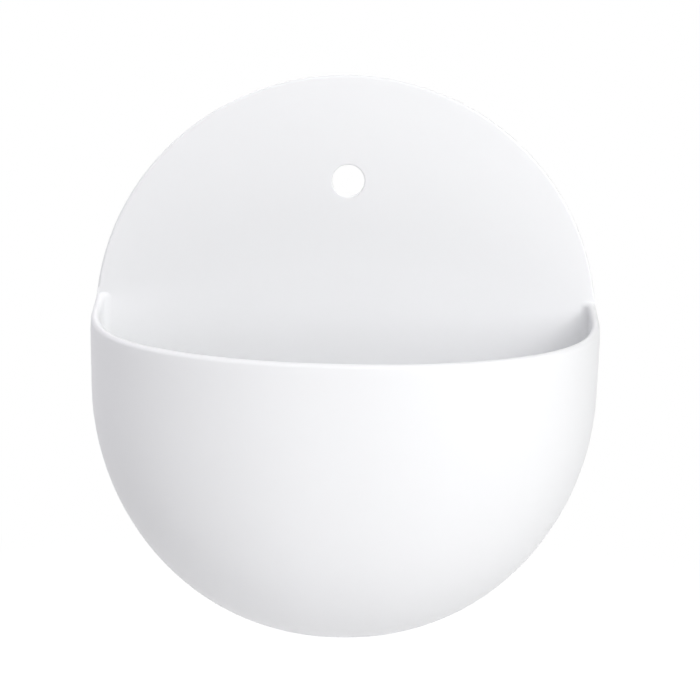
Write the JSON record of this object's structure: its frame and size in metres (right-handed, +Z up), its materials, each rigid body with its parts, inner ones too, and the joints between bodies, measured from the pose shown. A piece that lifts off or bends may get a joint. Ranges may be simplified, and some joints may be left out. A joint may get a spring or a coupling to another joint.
{
  "type": "wall planter",
  "caption": "Flat capsule-shaped wall plate with one hanging hole and an open-topped half-bowl plant pocket on its lower front.",
  "frame": {"origin": "where the hanging hole's axis leaves the plate's back face", "axes": "+Z up as it hangs, the front and its pocket towards -Y, the wall towards +Y, +X to the right seen from the front"},
  "size_m": [0.2, 0.0927, 0.22],
  "materials": {
    "planter_white": "satin",
    "stopper_rubber": "matte",
    "pad_rubber": "matte"
  },
  "bodies": {
    "planter": {"back_plate": "planter_white", "pocket_shell": "planter_white", "wall_pads": "pad_rubber"},
    "stopper": {"drain_plug": "stopper_rubber"}
  },
  "joints": [
    {"name": "stopper_pull", "type": "slide", "parent": "planter", "child": "stopper", "axis": [0, 0, -1], "range_m": [0, 0.02]}
  ]
}
